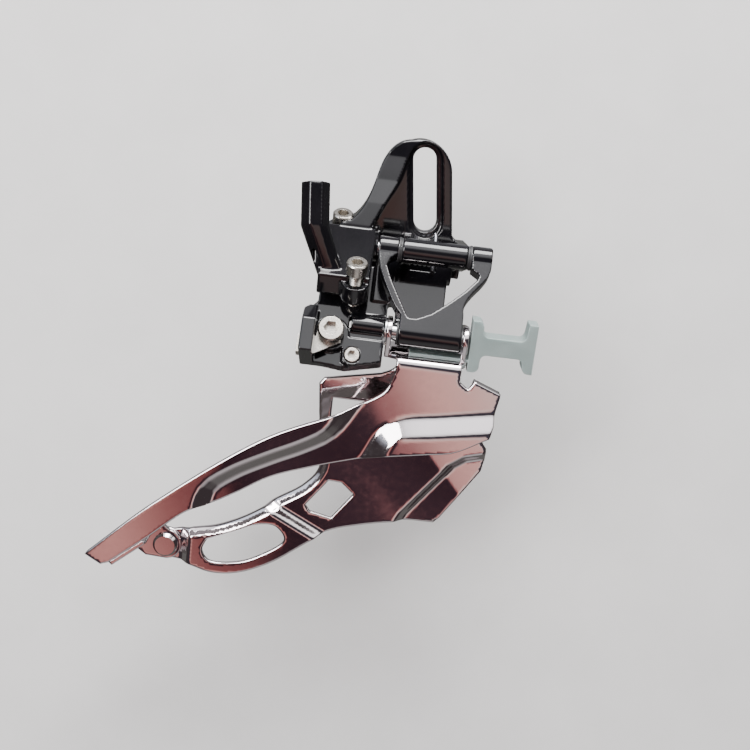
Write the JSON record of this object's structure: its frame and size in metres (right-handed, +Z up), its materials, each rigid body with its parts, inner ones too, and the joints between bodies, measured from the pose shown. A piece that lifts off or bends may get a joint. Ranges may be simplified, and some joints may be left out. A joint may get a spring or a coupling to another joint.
{
  "type": "front derailleur",
  "caption": "High direct-mount front derailleur: slotted mounting plate, parallelogram links, sprung cage of two joined plates, cable clamp, limit screws and a removable set-up wedge.",
  "frame": {"origin": "centre of the mounting slot on the back face that lies on the frame", "axes": "+X forward along the pivot pins, +Y inboard towards the frame, +Z up"},
  "size_m": [0.0972, 0.0391, 0.1095],
  "materials": {
    "black_gloss_paint": "high-gloss black paint on cast aluminium",
    "chrome_plate": "bright chrome plating on pressed steel",
    "steel_fasteners": "zinc-plated steel",
    "pin_steel": "ground steel",
    "bush_polymer": "dark bearing polymer",
    "spring_steel": "drawn wire",
    "milky_plastic": "translucent moulded plastic"
  },
  "bodies": {
    "mount": {"mount_body": "black_gloss_paint", "outer_upper_bushes": "bush_polymer", "inner_upper_pin": "pin_steel", "upper_pin_clip": "spring_steel", "return_spring": "spring_steel"},
    "outer_link": {"outer_link": "black_gloss_paint", "outer_upper_pin": "pin_steel", "outer_upper_washers": "bush_polymer", "outer_lower_bushes": "bush_polymer"},
    "inner_link": {"inner_link": "black_gloss_paint", "inner_upper_bushes": "bush_polymer", "cable_clamp_washer": "steel_fasteners", "cable_clamp_nut": "steel_fasteners", "arm_set_screw": "steel_fasteners"},
    "cage": {"outer_cage_plate": "chrome_plate", "inner_cage_plate": "chrome_plate", "tail_rivet": "chrome_plate", "bridge_rivets": "chrome_plate", "outer_lower_pin": "pin_steel", "inner_lower_pin": "pin_steel", "lower_pin_clip": "spring_steel"},
    "wedge": {"setup_wedge": "milky_plastic"},
    "low_screw": {"limit_screw_low": "steel_fasteners"},
    "high_screw": {"limit_screw_high": "steel_fasteners"},
    "clamp_bolt": {"cable_clamp_bolt": "steel_fasteners"}
  },
  "joints": [
    {"name": "outer_link_pivot", "type": "hinge", "parent": "mount", "child": "outer_link", "pos_m": [0, -0.022, -0.0125], "axis": [1, 0, 0], "range_deg": [-3, 56]},
    {"name": "inner_link_pivot", "type": "hinge", "parent": "mount", "child": "inner_link", "pos_m": [0, -0.013, -0.014], "axis": [1, 0, 0], "range_deg": [-4, 57], "deforming": ["return_spring"]},
    {"name": "cage_pivot", "type": "hinge", "parent": "outer_link", "child": "cage", "pos_m": [0, -0.0323, -0.02964], "axis": [1, 0, 0], "range_deg": [-57, 4]},
    {"name": "wedge_pull", "type": "slide", "parent": "cage", "child": "wedge", "axis": [1, 0, 0], "range_m": [0, 0.03]},
    {"name": "low_screw_turn", "type": "hinge", "parent": "mount", "child": "low_screw", "pos_m": [-0.0189, -0.0092, -0.00719], "axis": [0, 0.4384, -0.8988], "range_deg": [-180, 180]},
    {"name": "high_screw_turn", "type": "hinge", "parent": "mount", "child": "high_screw", "pos_m": [-0.0136, -0.029, -0.0154], "axis": [0, 0.4384, -0.8988], "range_deg": [-180, 180]},
    {"name": "clamp_bolt_turn", "type": "hinge", "parent": "inner_link", "child": "clamp_bolt", "pos_m": [-0.0178, -0.0314, -0.03058], "axis": [0, 0.8572, -0.515], "range_deg": [-180, 180]}
  ],
  "couplings": [
    {"joint": "inner_link_pivot", "follows": "outer_link_pivot", "ratio": 1},
    {"joint": "cage_pivot", "follows": "outer_link_pivot", "ratio": -1}
  ]
}
